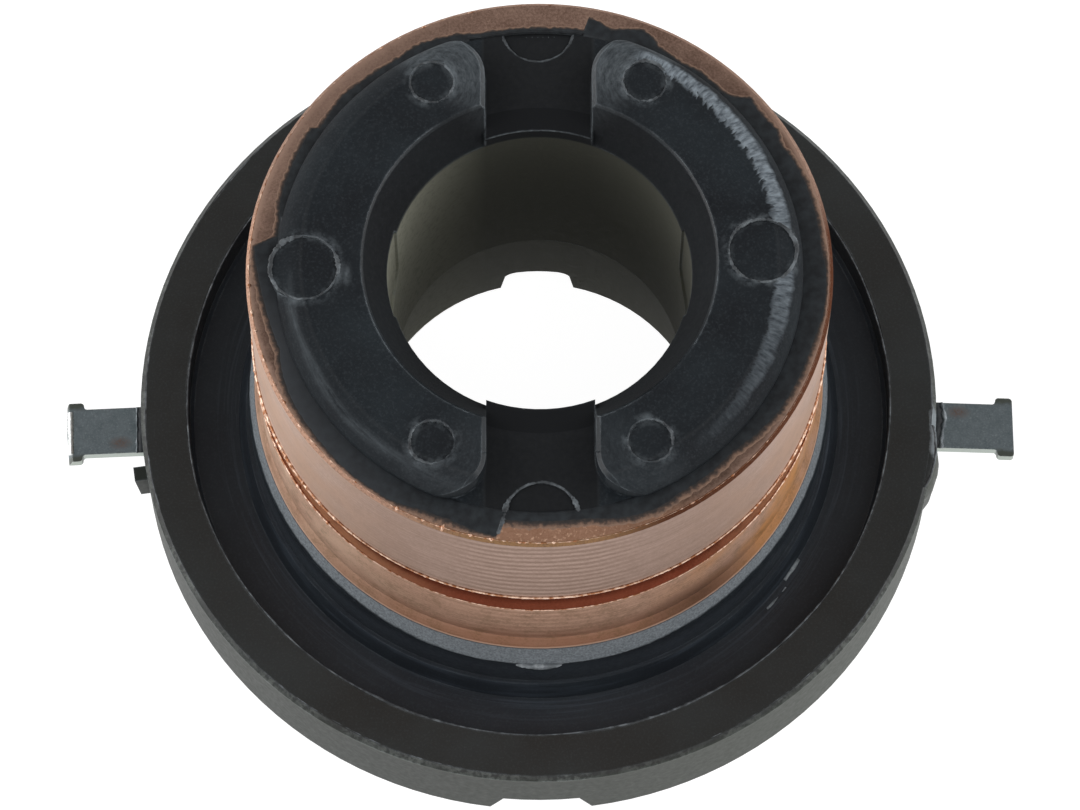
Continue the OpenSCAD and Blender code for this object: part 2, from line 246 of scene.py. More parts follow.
def addFloor():
    half, height = studio["floorHalf"], studio["floorHeight"]
    corners = [(-half, -half, height), (half, -half, height), (half, half, height), (-half, half, height)]
    mesh = bpy.data.meshes.new("paperFloor")
    mesh.from_pydata(corners, [], [(0, 1, 2, 3)])
    floor = bpy.data.objects.new("paperFloor", mesh)
    scene.collection.objects.link(floor)
    material, node = newMaterial("whitePaper")
    paper = node("BsdfDiffuse", {"Color": studio["floorColour"]})
    shade = node("BsdfDiffuse", {"Color": (studio["floorShade"],) * 3 + (1,)})
    glow = node("Emission", {"Strength": studio["floorGlow"]})
    seen = node("AddShader", {0: shade[0], 1: glow[0]})
    path = node("LightPath")
    direct = node("Math", {0: path["Is Camera Ray"], 1: path["Is Glossy Ray"]}, operation="MAXIMUM")
    direct = node("Math", {0: direct[0], 1: path["Is Transmission Ray"]}, operation="MAXIMUM")
    both = node("MixShader", {0: direct[0], 1: paper[0], 2: seen[0]})
    node("OutputMaterial", {"Surface": both[0]})
    mesh.materials.append(material)


def addSky():
    # pale round the horizon and dim overhead, as in a tent with a dark hood over it
    world = bpy.data.worlds.new("studioRoom")
    scene.world = world
    world.use_nodes = True
    world.node_tree.nodes.clear()
    node = partial(addNode, world.node_tree)
    height = node("SeparateXYZ", {0: node("TexCoord")["Generated"]})["Z"]
    strength = node("MapRange", {0: height, 1: 0.1, 2: 0.7, 3: studio["horizon"], 4: studio["zenith"]},
                    interpolation_type="SMOOTHSTEP")[0]
    light = node("Background", {"Color": (1, 1, 1, 1), "Strength": strength})
    node("OutputWorld", {"Surface": light[0]})


def addLamps():
    target = Vector(studio["aim"])
    for name, (place, width, height, power) in studio["lamps"].items():
        data = bpy.data.lights.new(name, "AREA")
        data.shape = "RECTANGLE"
        data.size, data.size_y, data.energy = width, height, power
        lamp = bpy.data.objects.new(name, data)
        lamp.location = place
        lamp.rotation_euler = (target - Vector(place)).to_track_quat("-Z", "Y").to_euler()
        scene.collection.objects.link(lamp)


addFloor()
addSky()
addLamps()
print("studio lit")


phenolic = {
    "roughness": (0.31, 0.43),
    # lump size in mm, detail and roughness of each noise
    "noises": {"cloud": (5.0, 4, 0.5), "grain": (0.35, 4, 0.6), "speck": (1.1, 6, 0.7),
               "patch": (2.6, 3, 0.5), "grit": (0.13, 2, 0.5)},
    # noises drawn out to strokes: what they run over, stretch along each part of it, detail and roughness
    "strokes": {"scuffed": ("roundMark", (3.5, 5.0, 1), 6, 0.75), "streak": ("polar", (62, 1.3, 0), 4, 0.6),
                "drag": ("polar", (3.5, 2.2, 0), 6, 0.75), "dishBands": ("polar", (2.2, 4.5, 0), 5, 0.65)},
    # places in mm and stretch of a smudge beside the left ejector mark, and of flash on the edge of the rim
    "smudge": ((-10.85, -0.9, padHeight), (1.2, 0.5, 0)),
    "rimFlash": ((23.8, -2.3, 6.85), (2.6, 0.52, 2.0)),
    # each mask is the product of its ramps: what is measured, where the ramp is 0 and where it is 1
    "masks": {
        "high": [("z", 27.45, 27.6)],
        "cloudy": [("cloud", 0.35, 0.7)],
        "gritty": [("grit", 0.5, 0.75)],
        "outside": [("radius", 23.4, 23.7), ("z", 6.8, 6.6)],
        "bevel": [("radius", 23.4, 23.7), ("z", 6.35, 6.5), ("z", 6.89, 6.87), ("grain", 0.42, 0.6),
                  ("patch", 0.3, 0.6)],
        # painted light: the side of the flange grows lighter towards the right, where more light falls
        "litRightwards": [("x", -8, 16)],
        "bore": [("inside", 0, 1), ("z", 26.6, 26.3)],
        # painted light: the wall of the bore is lighter on its left side and a little on its right
        "boreLitLeft": [("x", -3, -8.5)],
        "boreLitRight": [("x", 3, 8.5)],
        "boreGrain": [("grain", 0.5, 0.7)],
        # painted shade in the throat of the bore and in the channels
        "throat": [("inside", 0, 1), ("z", 26.4, 26.7)],
        "channel": [("z", 26.4, 26.6), ("z", 27.38, 27.36), ("aside", 3.3, 3.05)],
        "rim": [("radius", 21.0, 21.2)],
        "cut": [("radius", 16.4, 16.5), ("z", 10.3, 10.25), ("cutEdge", 8.75, 8.95)],
        "cutPale": [("grit", 0.3, 0.75)],
        "seam": [("z", 10.08, 10.14)],
        "groove": [("radius", 15.3, 15.4), ("z", 16.25, 16.3), ("z", 18.55, 18.5)],
        "scuff": [("high", 0, 1), ("fromMark", 1.15, 1.4), ("slant", 1.2, -0.6), ("markY", -2.6, 0.2),
                  ("scuffed", 0.3, 0.78), ("fade", 0, 1)],
        "dusty": [("high", 0, 1), ("fromDust", 0.45, 0.05), ("speck", 0.45, 0.65)],
        "torn": [("high", 0, 1), ("inner", 12.75, 12.95), ("outer", 14.7, 14.45), ("angle", 1.17, 1.1),
                 ("angle", -0.95, -0.1), ("fromMark", 1.2, 1.25), ("fromLarge", 1.85, 1.95),
                 ("flankGlareFade", 0, 1)],
        "flankGlarePale": [("streak", 0.33, 0.62)],
        "flank": [("high", 0, 1), ("radius", 13.3, 13.6)],
        "drawn": [("high", 0, 1), ("radius", 13.85, 14.15), ("radius", 14.6, 14.25), ("drag", 0.36, 0.7),
                  ("x", -4, -8), ("y", 0, -3)],
        # painted highlight: pale streaky bands on the dish floor round the foot of the collar
        "dish": [("z", 7.6, 7.0), ("dishBands", 0.5, 0.72), ("radius", 17.3, 17.6), ("radius", 20.2, 18.6)],
        "rubbed": [("wear", 0, 1), ("turn", 0.985, 0.9)],
        "whitened": [("fromFlash", 1.85, 1.4)],
    },
    # each tone is a colour with layers over it: a mask, its strength, and a colour or a tone from above
    "tones": {
        # boreTone is the bore wall, with painted light on its left side and a little on its right
        "boreTone": ("#424238", [("boreLitLeft", 1, "#9a9a8a"), ("boreLitRight", 1, "#58584d"),
                                 ("boreGrain", 0.4, "#56564b")]),
        # olive is the flange's own colour on its side, painted lighter towards the right
        "olive": ("#242a23", [("litRightwards", 1, "#343a30")]),
        "dust": ("#434850", [("rim", 1, "#4e4b42")]),
        "cutTone": ("#5c6267", [("cutPale", 1, "#868c91"), ("seam", 0.8, "#3d302b")]),
        "smear": ("#74311b", [("speck", 1, "#b2653e")]),
        "tornTone": ("#444b52", [("flankGlarePale", 1, "#8c969e")]),
        "chalk": ("#8f989e", []),
        "skin": ("#12161b", [
            ("cloudy", 1, "#1f262b"),
            ("gritty", 0.35, "#3c4247"),
            ("low", 1, "dust"),
            # painted highlight bands on the dish floor
            ("dish", 0.4, "#59626e"),
            ("bore", 0.9, "boreTone"),
            ("outside", 0.8, "olive"),
            # painted shade: the throat of the bore and the floor of the channels are darkened
            ("throat", 0.7, "#0f1114"),
            ("channel", 0.85, "#0f1114"),
            ("bevel", 0.4, "#7b807b"),
            ("cut", 1, "cutTone"),
            ("groove", 1, "smear"),
            ("drawn", 0.26, "chalk"),
            ("dusty", 0.32, "chalk"),
            ("scuff", 0.42, "chalk"),
            # painted reflection of a lamp on the right flank
            ("torn", 1, "tornTone"),
            ("rubbed", 1, "chalk"),
            ("whitened", 0.8, "chalk"),
        ]),
    },
    # what each mask adds to the roughness
    "duller": {"cut": 0.25, "scuff": 0.15, "inside": 0.5, "outside": 0.18, "flank": 0.5, "groove": 0.1,
               "channel": 0.5},
}


def glassFilledPhenolic():
    # Glass filled phenolic, compression moulded: a dark blue-black skin with a dull sheen that turns chalky
    # grey where an edge is rubbed or where a lathe tool has cut into the filler. A pale band along the flank
    # of the right pad is a painted reflection of a lamp, broken up by tool marks.
    material, node = newMaterial("glassFilledPhenolic")
    at = measures(node, phenolic["noises"])
    x, y, z, radius = (at[key] for key in ("x", "y", "z", "radius"))

    # the wall of the bore and the throat without the pads, and dust, thicker in the dish than on the rim
    pad = node("MapRange", {0: radius, 1: 9.9, 2: 9.94})[0]
    pad = node("MapRange", {0: z, 1: 26.3, 2: 26.6, 4: pad})[0]
    inside = node("MapRange", {0: radius, 1: 10.5, 2: 10.3})[0]
    at["inside"] = node("Math", {0: inside, 1: pad}, operation="SUBTRACT", use_clamp=True)[0]
    dust = node("MapRange", {0: radius, 1: 21.0, 2: 21.2, 3: 0.29, 4: 0.21})[0]
    at["low"] = node("MapRange", {0: z, 1: 8.6, 2: 7.6, 4: dust})[0]

    # the tool that turned the rings ran out over the collar, less far at the sides
    lift = node("MapRange", {0: at["aside"], 1: 4, 2: 12, 4: 0.5})[0]
    cutEdge = node("Math", {0: at["speck"], 1: 0.35, 2: z}, operation="MULTIPLY_ADD")[0]
    at["cutEdge"] = node("Math", {0: cutEdge, 1: lift}, operation="SUBTRACT")[0]

    # fine scuffs run round the corners of the pads, outside the small marks, which all four corners have
    offset = node("VectorMath", {0: at["place"]}, operation="ABSOLUTE")[0]
    offset = node("VectorMath", {0: offset, 1: (markX, markY, 0)}, operation="SUBTRACT")[0]
    mark = node("SeparateXYZ", {0: offset})
    at["markY"] = mark["Y"]
    at["slant"] = node("Math", {0: mark["X"], 1: mark["Y"]}, operation="SUBTRACT")[0]
    flat = node("CombineXYZ", {0: mark["X"], 1: mark["Y"]})[0]
    at["fromMark"] = node("VectorMath", {0: flat}, operation="LENGTH")["Value"]
    swing = node("Math", {0: mark["Y"], 1: mark["X"]}, operation="ARCTAN2")[0]
    at["roundMark"] = node("CombineXYZ", {0: swing, 1: at["fromMark"], 2: x})[0]
    at["fade"] = node("MapRange", {0: y, 1: -2, 2: 2, 3: 0.2})[0]
    at["angle"] = node("Math", {0: y, 1: x}, operation="ARCTAN2")[0]
    at["polar"] = node("CombineXYZ", {0: at["angle"], 1: radius})[0]
    for name, (over, stretch, detail, rough) in phenolic["strokes"].items():
        drawn = node("VectorMath", {0: at[over], 1: stretch}, operation="MULTIPLY")[0]
        at[name] = node("TexNoise", {"Vector": drawn, "Scale": 1.0, "Detail": detail,
                                     "Roughness": rough})["Fac"]

    # Dust gathers just outside the edge of each mark, and in a smudge beside the left one. The right mark
    # comes last, and its distance is kept for the painted reflection on the right flank.
    nearest = node("Math", {0: at["fromMark"], 1: smallRadius + 0.05}, operation="SUBTRACT")[0]
    nearest = node("Math", {0: nearest}, operation="ABSOLUTE")[0]
    for middle in (leftMark, rightMark):
        centre = (*middle, padHeight)
        at["fromLarge"] = node("VectorMath", {0: at["place"], 1: centre}, operation="DISTANCE")["Value"]
        away = node("Math", {0: at["fromLarge"], 1: largeRadius + 0.1}, operation="SUBTRACT")[0]
        away = node("Math", {0: away}, operation="ABSOLUTE")[0]
        nearest = node("Math", {0: nearest, 1: away}, operation="MINIMUM")[0]
    smudge = distanceFrom(node, at, *phenolic["smudge"])
    at["fromDust"] = node("Math", {0: nearest, 1: smudge}, operation="MINIMUM")[0]

    # A painted reflection of a lamp along the flank of the right pad, broken up by tool marks: short strokes
    # across it, larger teeth on its upper half, and nothing of it inside the two marks.
    teeth = node("Math", {0: at["patch"], 1: 7.0}, operation="MULTIPLY")[0]
    teeth = node("Math", {0: at["angle"], 1: 19.0, 2: teeth}, operation="MULTIPLY_ADD")[0]
    teeth = node("Math", {0: teeth}, operation="FRACT")[0]
    size = node("MapRange", {0: y, 1: -1.0, 2: 3.0, 4: 0.3})[0]
    teeth = node("Math", {0: teeth, 1: size}, operation="MULTIPLY")[0]
    depth = node("Math", {0: at["streak"], 1: 0.9, 2: teeth}, operation="MULTIPLY_ADD")[0]
    inner = node("Math", {0: radius, 1: depth}, operation="SUBTRACT")[0]
    narrowing = node("MapRange", {0: at["angle"], 1: -0.2, 2: -0.9, 4: 0.6})[0]
    at["inner"] = node("Math", {0: inner, 1: narrowing}, operation="SUBTRACT")[0]
    at["outer"] = node("Math", {0: at["speck"], 1: 0.6, 2: radius}, operation="MULTIPLY_ADD")[0]
    at["flankGlareFade"] = node("MapRange", {0: y, 1: -4, 2: 4, 3: 0.55, 4: 0.95})[0]

    # edges are rubbed in patches, on the hub more than on the flange, and flash whitens the rim on the right
    at["turn"] = edgeTurn(node, 0.16)
    wear = node("MapRange", {0: at["patch"], 1: 0.38, 2: 0.6, 3: 0.05, 4: 0.6})[0]
    fine = node("MapRange", {0: at["grain"], 1: 0.36, 2: 0.56, 3: 0.25})[0]
    wear = node("Math", {0: wear, 1: fine}, operation="MULTIPLY")[0]
    hub = node("MapRange", {0: z, 1: 9.5, 2: 10.5})[0]
    flange = node("MapRange", {0: radius, 1: 20.6, 2: 20.9, 3: 0.25, 4: 0.55})[0]
    share = node("Math", {0: hub, 1: flange}, operation="MAXIMUM")[0]
    at["wear"] = node("Math", {0: wear, 1: share}, operation="MULTIPLY", use_clamp=True)[0]
    flashed = distanceFrom(node, at, *phenolic["rimFlash"])
    at["fromFlash"] = node("Math", {0: at["speck"], 1: 1.6, 2: flashed}, operation="MULTIPLY_ADD")[0]

    tones = {}
    addMasks(node, at, phenolic["masks"])
    addTones(node, at, tones, phenolic["tones"])
    least, most = phenolic["roughness"]
    roughness = node("MapRange", {0: at["grain"], 1: 0.3, 2: 0.7, 3: least, 4: most})[0]
    for mask, extra in phenolic["duller"].items():
        roughness = node("Math", {0: at[mask], 1: extra, 2: roughness}, operation="MULTIPLY_ADD",
                         use_clamp=True)[0]
    metallic = node("Math", {0: at["groove"], 1: 0.8}, operation="MULTIPLY")[0]
    bump = node("Bump", {"Strength": 0.15, "Distance": 0.02 * mm, "Height": at["grain"]})[0]
    shader = node("BsdfPrincipled", {"IOR": 1.55, "Specular IOR Level": 0.32, "Base Color": tones["skin"],
                                     "Roughness": roughness, "Metallic": metallic, "Normal": bump})
    node("OutputMaterial", {"Surface": shader[0]})
    return material


copper = {
    "pitch": 0.68,          # mm between the feed lines
    "roughness": (0.45, 0.68),      # of the turned side, and of the broken edge with the end face
    "anisotropy": 0.65,
    "bruise": ((9.5, -14.0, 10.9), (0.28, 0.28, 0.5)),      # place in mm and stretch
    "noises": {"dots": (0.2, 5, 0.75), "speck": (0.16, 4, 0.75), "patch": (1.1, 4, 0.6),
               "bloom": (4.0, 3, 0.5)},
    # painted shade: this colour multiplies the colour of the side in front, where the feed lines show, and
    # less so at both sides, which stay lighter
    "front": {"frontShade": "#cec9c7", "bright": "#dcc1b3", "deep": "#b39989", "mottle": "#b39989",
              "tint": "#cba992", "end": "#c0a291", "endSide": "#c0a291", "endDeep": "#7b5f52",
              "endFront": "#d3a07e", "glint": "#ffdcc0", "edgeLeft": "#cfaa94", "haze": "#3b2a24"},
    # the end face of the rear ring shows only in the groove: its end tones are dark and red, painted shade
    # under the front ring and painted light reflected between the copper faces
    "rear": {"frontShade": "#ebe6e2", "bright": "#e2bda8", "deep": "#b9957f", "mottle": "#7a6242",
             "tint": "#df9f5c", "tintLeft": "#ebccb4", "foot": "#a8725a", "taper": "#ab8268",
             "bruise": "#4a302a", "end": "#bd7156", "endSide": "#d3a07c", "endDeep": "#84452f",
             "endFront": "#bd7156", "glint": "#bd7156", "endInner": "#4d2216", "edgeLeft": "#e6c3ae",
             "haze": "#5a2413"},
    "masks": {
        "endFace": [("up", 0.85, 0.95)],
        "broken": [("up", 0.45, 0.55)],
        "left": [("x", -4, -9)],
        "right": [("x", 3, 7)],
        "behind": [("y", 2, 6)],
        "edgeSpecks": [("speck", 0.48, 0.62)],
        "worn": [("wear", 0.32, 0.68)],
        # painted light and shade on the end face, by side
        "farRight": [("x", 10, 14)],
        "rearLeft": [("x", -3, -10), ("y", 1, 8)],
        "front": [("y", -13.5, -15)],
        "glint": [("y", -13.5, -15.5), ("dots", 0.56, 0.66)],
        "ends": [("fromMiddle", 6.5, 12), ("radius", 16.05, 16.3)],
        # painted shadow: the inner part of the rear ring's upper face, in the groove under the front ring
        "inner": [("radius", 16.3, 15.8)],
        "haze": [("lowerHalf", 0, 1), ("hazeEdge", 17.1, 16.2), ("aside", 3, 7), ("endFace", 0, 1)],
        "lined": [("lines", 0.35, 0.65)],
        "specks": [("speck", 0.64, 0.72)],
        # tint: a blotchy warmer tone at the sides, which also carries painted sheen where the sides catch the
        # lamps; the rear ring is painted lighter still on the left
        "tint": [("bloom", 0.35, 0.6), ("aside", 6, 13)],
        "tintLeft": [("x", 6, -6)],
        "foot": [("aside", 14, 8), ("footEdge", 15.5, 12.0)],
        "taper": [("z", 12.4, 10.9)],
        "mottle": [("mottling", 0.96, 1.2)],
        "bruise": [("fromBruise", 1.7, 0.6)],
        # painted highlight along the foot of the rear ring
        "footHighlight": [("z", 10.36, 10.28)],
    },
    # The broken edge is pale on the left, ochre in front and brown on the right. Only the rear ring has the
    # tones for the left sheen, the foot, the taper, the bruise and the shadow in the groove, and only it
    # reaches down to the painted highlight along its foot.
    "tones": {
        "edge": ("#b08c68", [("left", 1, "edgeLeft"), ("right", 1, "#6a422f"), ("behind", 1, "end"),
                             ("edgeSpecks", 0.5, "endDeep")]),
        # on the end face, painted light and shade: darker on the far right, lighter on the rear left, in
        # front and at the outer edge towards the sides
        "endTone": ("endDeep", [("worn", 1, "end"), ("farRight", 0.5, "endDeep"),
                                ("rearLeft", 0.5, "endSide"), ("front", 0.5, "endFront"),
                                ("glint", 0.8, "glint"), ("ends", 1, "endSide"),
                                ("inner", 0.75, "endInner")]),
        # painted sheen on the sides, lighter on the left of the rear ring, over a blotchy tint
        "tintTone": ("tint", [("tintLeft", 1, "tintLeft")]),
        "side": ("deep", [("lined", 1, "bright"), ("tint", 0.8, "tintTone"), ("foot", 0.7, "foot"),
                          ("specks", 0.4, "endDeep"), ("taper", 0.35, "taper"), ("mottle", 0.42, "mottle"),
                          ("bruise", 0.6, "bruise"), ("footHighlight", 0.7, "edgeLeft")]),
    },
    "whole": {"whole": ("side", [("broken", 1, "edge"), ("endFace", 1, "endTone"), ("haze", 1, "haze")])},
}


def turnedCopper(name, ringTones):
    # Electrolytic copper, turned after moulding: fine lines round the ring draw each reflection out along the
    # axis, the edge is broken and tarnished, and the sheared end face is dull, brown and full of specks.
    material, node = newMaterial(name)
    at = measures(node, copper["noises"])
    flat = node("VectorMath", {0: at["place"], 1: (0.012, 0.012, 1)}, operation="MULTIPLY")[0]
    hair = node("TexNoise", {"Vector": flat, "Scale": 7.0, "Detail": 2, "Roughness": 0.6})["Fac"]
    feed = node("TexWave", {"Vector": at["place"], "Scale": 0.314 / copper["pitch"], "Distortion": 2.2,
                            "Detail": 2, "Detail Scale": 0.6}, wave_type="BANDS", bands_direction="Z")["Fac"]
    shown = node("MapRange", {0: at["z"], 1: 17, 2: 19, 3: 0.3, 4: 0.6})[0]
    shown = node("MapRange", {0: at["aside"], 1: 6.5, 2: 3.0, 4: shown})[0]
    lines = node("Mix", {0: shown, 2: hair, 3: feed}, data_type="FLOAT")[0]
    at["lines"] = node("Mix", {0: 0.5, 2: lines, 3: at["dots"]}, data_type="FLOAT")[0]
    at["wear"] = node("Mix", {0: 0.3, 2: at["speck"], 3: at["patch"]}, data_type="FLOAT")[0]
    at["up"] = node("SeparateXYZ", {0: node("NewGeometry")["Normal"]})["Z"]
    aside = node("Math", {0: at["x"], 1: 2}, operation="SUBTRACT")[0]
    at["fromMiddle"] = node("Math", {0: aside}, operation="ABSOLUTE")[0]

    # Brown haze lies on the end face beside the flash film, mostly on the lower half. The rear ring grows
    # darker and redder towards its foot, and has a dark stain on the right of the front.
    at["lowerHalf"] = node("MapRange", {0: at["y"], 1: 6, 2: -6, 3: 0.1, 4: 0.7})[0]
    at["hazeEdge"] = node("Math", {0: at["patch"], 1: 1.2, 2: at["radius"]}, operation="MULTIPLY_ADD")[0]
    at["footEdge"] = node("Math", {0: at["bloom"], 1: 4.0, 2: at["z"]}, operation="MULTIPLY_ADD")[0]
    at["mottling"] = node("Math", {0: at["patch"], 1: at["speck"]}, operation="ADD")[0]
    bruise = distanceFrom(node, at, *copper["bruise"])
    at["fromBruise"] = node("Math", {0: at["patch"], 1: 0.8, 2: bruise}, operation="MULTIPLY_ADD")[0]
    # painted shade: the side is darkened in front and less towards both sides
    frontShade = node("MapRange", {0: at["x"], 1: -15.5, 2: -8.5, 3: 0.3})[0]
    frontShade = node("MapRange", {0: at["x"], 1: 17, 2: 9, 3: 0.4, 4: frontShade})[0]

    tones = dict(ringTones)
    addMasks(node, at, copper["masks"])
    addTones(node, at, tones, copper["tones"])
    tones["side"] = node("Mix", {0: frontShade, 6: tones["side"], 7: tones["frontShade"]}, data_type="RGBA",
                         blend_type="MULTIPLY")[2]
    addTones(node, at, tones, copper["whole"])
    turned, broken = copper["roughness"]
    roughness = node("MapRange", {0: at["broken"], 3: turned, 4: broken})[0]
    height = node("Mix", {0: 0.5, 2: at["lines"], 3: at["wear"]}, data_type="FLOAT")[0]
    bump = node("Bump", {"Strength": 0.3, "Distance": 0.012 * mm, "Height": height})[0]
    tangent = node("Tangent", direction_type="RADIAL", axis="Z")[0]
    shader = node("BsdfPrincipled", {"Metallic": 1.0, "Anisotropic": copper["anisotropy"],
                                     "Anisotropic Rotation": 0.25, "Base Color": tones["whole"],
                                     "Roughness": roughness, "Normal": bump, "Tangent": tangent})
    node("OutputMaterial", {"Surface": shader[0]})
    return material


def rawCopper():
    # Copper pushed over an edge by the tool: bright, a little orange, rough at a small scale.
    material, node = newMaterial("rawCopper")
    at = measures(node, {"speck": (0.3, 4, 0.5)})
    tone = node("MapRange", {0: at["speck"], 1: 0.4, 2: 0.6})[0]
    colour = node("Mix", {0: tone, 6: "#a8704e", 7: "#f0cfb8"}, data_type="RGBA")[2]
    shader = node("BsdfPrincipled", {"Metallic": 1.0, "Base Color": colour, "Roughness": 0.4})
    node("OutputMaterial", {"Surface": shader[0]})
    return material


tinned = {
    "noises": {"cloud": (0.5, 4, 0.6), "speck": (0.12, 3, 0.7)},
    "masks": {
        "cloudy": [("cloud", 0.3, 0.7)],
        "pale": [("speck", 0.45, 0.6)],
        "bright": [("speck", 0.62, 0.68)],
        "stained": [("fromStain", 0.85, 0.2), ("speck", 0.3, 0.6)],
        "lobe": [("across", 1.65, 1.9)],      # mm, where the head is wider than the strip
        # painted reflection: faces that face the front are lightened
        "side": [("facing", -0.5, -0.8)],
        "edge": [("wear", 0, 1), ("turn", 0.98, 0.85)],
    },
    "tones": {
        "skin": ("#6f797d", [("cloudy", 0.5, "#8a9397"), ("pale", 0.5, "#8a9397"), ("bright", 0.3, "#b9c0bd"),
                             ("stained", 0.8, "#7a5f53"), ("lobe", 0.85, "#5b5e55"), ("side", 0.8, "#b4bcb4"),
                             ("edge", 1, "#b9c0bd")]),
    },
}


def tinnedCopper(name, stainPlace):
    # Copper strip, hot tinned: a soft blue-grey metal with a faint bloom, brighter along its cut edges, with
    # a painted reflection that lightens the faces that face the front, dull olive on the two lobes of its
    # head, and with a brown stain near the moulding.
    material, node = newMaterial(name)
    at = measures(node, tinned["noises"])
    at["fromStain"] = distanceFrom(node, at, stainPlace, (1, 1.7, 1))
    at["facing"] = node("SeparateXYZ", {0: node("NewGeometry")["Normal"]})["Y"]
    across = node("Math", {0: at["y"]}, operation="ABSOLUTE")[0]
    at["across"] = node("Math", {0: at["cloud"], 1: 0.5, 2: across}, operation="MULTIPLY_ADD")[0]
    at["wear"] = node("MapRange", {0: at["speck"], 1: 0.4, 2: 0.6, 3: 0.2, 4: 0.9})[0]
    at["turn"] = edgeTurn(node, 0.09)
    tones = {}
    addMasks(node, at, tinned["masks"])
    addTones(node, at, tones, tinned["tones"])
    roughness = node("MapRange", {0: at["speck"], 1: 0.3, 2: 0.7, 3: 0.36, 4: 0.5})[0]
    bump = node("Bump", {"Strength": 0.3, "Distance": 0.01 * mm, "Height": at["cloud"]})[0]
    shader = node("BsdfPrincipled", {"Metallic": 1.0, "Base Color": tones["skin"], "Roughness": roughness,
                                     "Normal": bump})
    node("OutputMaterial", {"Surface": shader[0]})
    return material


def brightTin():
    # Tin over a fresh shear: almost white, with a soft highlight.
    material, node = newMaterial("brightTin")
    at = measures(node, {"speck": (0.3, 4, 0.5)})
    tone = node("MapRange", {0: at["speck"], 1: 0.3, 2: 0.6})[0]
    colour = node("Mix", {0: tone, 6: "#cfd4d2", 7: "#fbfcfa"}, data_type="RGBA")[2]
    shader = node("BsdfPrincipled", {"Metallic": 1.0, "Base Color": colour, "Roughness": 0.35})
    node("OutputMaterial", {"Surface": shader[0]})
    return material


def chalkyPhenolic(name, deep, pale):
    # Phenolic that was torn or pressed thin, so that the filler shows: dry, whitish and quite dull.
    material, node = newMaterial(name)
    at = measures(node, {"speck": (0.35, 4, 0.5), "shade": (1.1, 2, 0.5)})
    shade = node("MapRange", {0: at["shade"], 1: 0.36, 2: 0.62, 3: 0.05})[0]
    tone = node("MapRange", {0: at["speck"], 1: 0.32, 2: 0.6, 4: shade})[0]
    colour = node("Mix", {0: tone, 6: deep, 7: pale}, data_type="RGBA")[2]
    shader = node("BsdfPrincipled", {"IOR": 1.55, "Base Color": colour, "Roughness": 0.6})
    node("OutputMaterial", {"Surface": shader[0]})
    return material


flash = {
    "noises": {"grain": (0.5, 4, 0.5)},
    "masks": {"grainy": [("grain", 0.35, 0.7)], "lowerLeft": [("y", 1, -4), ("x", -6, -14)]},
    "tones": {"skin": ("#171a1e", [("grainy", 1, "#2a2f33"), ("lowerLeft", 0.6, "#404347")])},
    "fringeNoises": {"grain": (0.22, 4, 0.5)},
    "fringeMasks": {"dark": [("thin", 0.5, 0.9)], "brown": [("thin", 0.85, 1.2)],
                    "tan": [("thin", 1.1, 1.5)]},
    "fringeTones": {"skin": ("#1c1a19", [("dark", 1, "#352a25"), ("brown", 1, "#614a3d"),
                                         ("tan", 1, "#8a6c59")])},
}


def flashPhenolic():
    # Phenolic that crept over the copper as a skin a few hundredths of a millimetre thick: black and dull,
    # with a painted grey sheen on the lower left.
    material, node = newMaterial("flashPhenolic")
    at = measures(node, flash["noises"])
    tones = {}
    addMasks(node, at, flash["masks"])
    addTones(node, at, tones, flash["tones"])
    bump = node("Bump", {"Strength": 0.25, "Distance": 0.02 * mm, "Height": at["grain"]})[0]
    shader = node("BsdfPrincipled", {"IOR": 1.55, "Specular IOR Level": 0.32, "Base Color": tones["skin"],
                                     "Roughness": 0.5, "Normal": bump})
    node("OutputMaterial", {"Surface": shader[0]})
    return material


def fringePhenolic():
    # The same skin at its thinnest: black beside the film, and browner outwards as the copper shows through.
    material, node = newMaterial("fringePhenolic")
    at = measures(node, flash["fringeNoises"])
    thin = node("Attribute", attribute_name="thin")["Fac"]
    at["thin"] = node("Math", {0: at["grain"], 1: 1.2, 2: thin}, operation="MULTIPLY_ADD")[0]
    tones = {}
    addMasks(node, at, flash["fringeMasks"])
    addTones(node, at, tones, flash["fringeTones"])
    shader = node("BsdfPrincipled", {"IOR": 1.55, "Base Color": tones["skin"], "Roughness": 0.6})
    node("OutputMaterial", {"Surface": shader[0]})
    return material


def dress(nodeName, material):
    mesh = nodes[nodeName].data
    mesh.materials.clear()
    mesh.materials.append(material)


moulding = glassFilledPhenolic()
dress("moulded_body", moulding)
dress("front_slip_ring", turnedCopper("turnedCopperFront", copper["front"]))
dress("rear_slip_ring", turnedCopper("turnedCopperRear", copper["rear"]))
dress("left_terminal", tinnedCopper("tinnedCopperLeft", (-25.5, -0.8, 1.8)))
dress("right_terminal", tinnedCopper("tinnedCopperRight", (25.7, 0.9, 1.8)))
burrCopper = rawCopper()
tipTin = brightTin()
rubbed = chalkyPhenolic("rubbedPhenolic", "#282c30", "#6f767b")
whitened = chalkyPhenolic("whitenedPhenolic", "#5f666b", "#a4abb0")
# this black material is the flash film on the copper, and also painted shade on the strips beside the flange
blackFlashAndShade = flashPhenolic()
print("materials made")


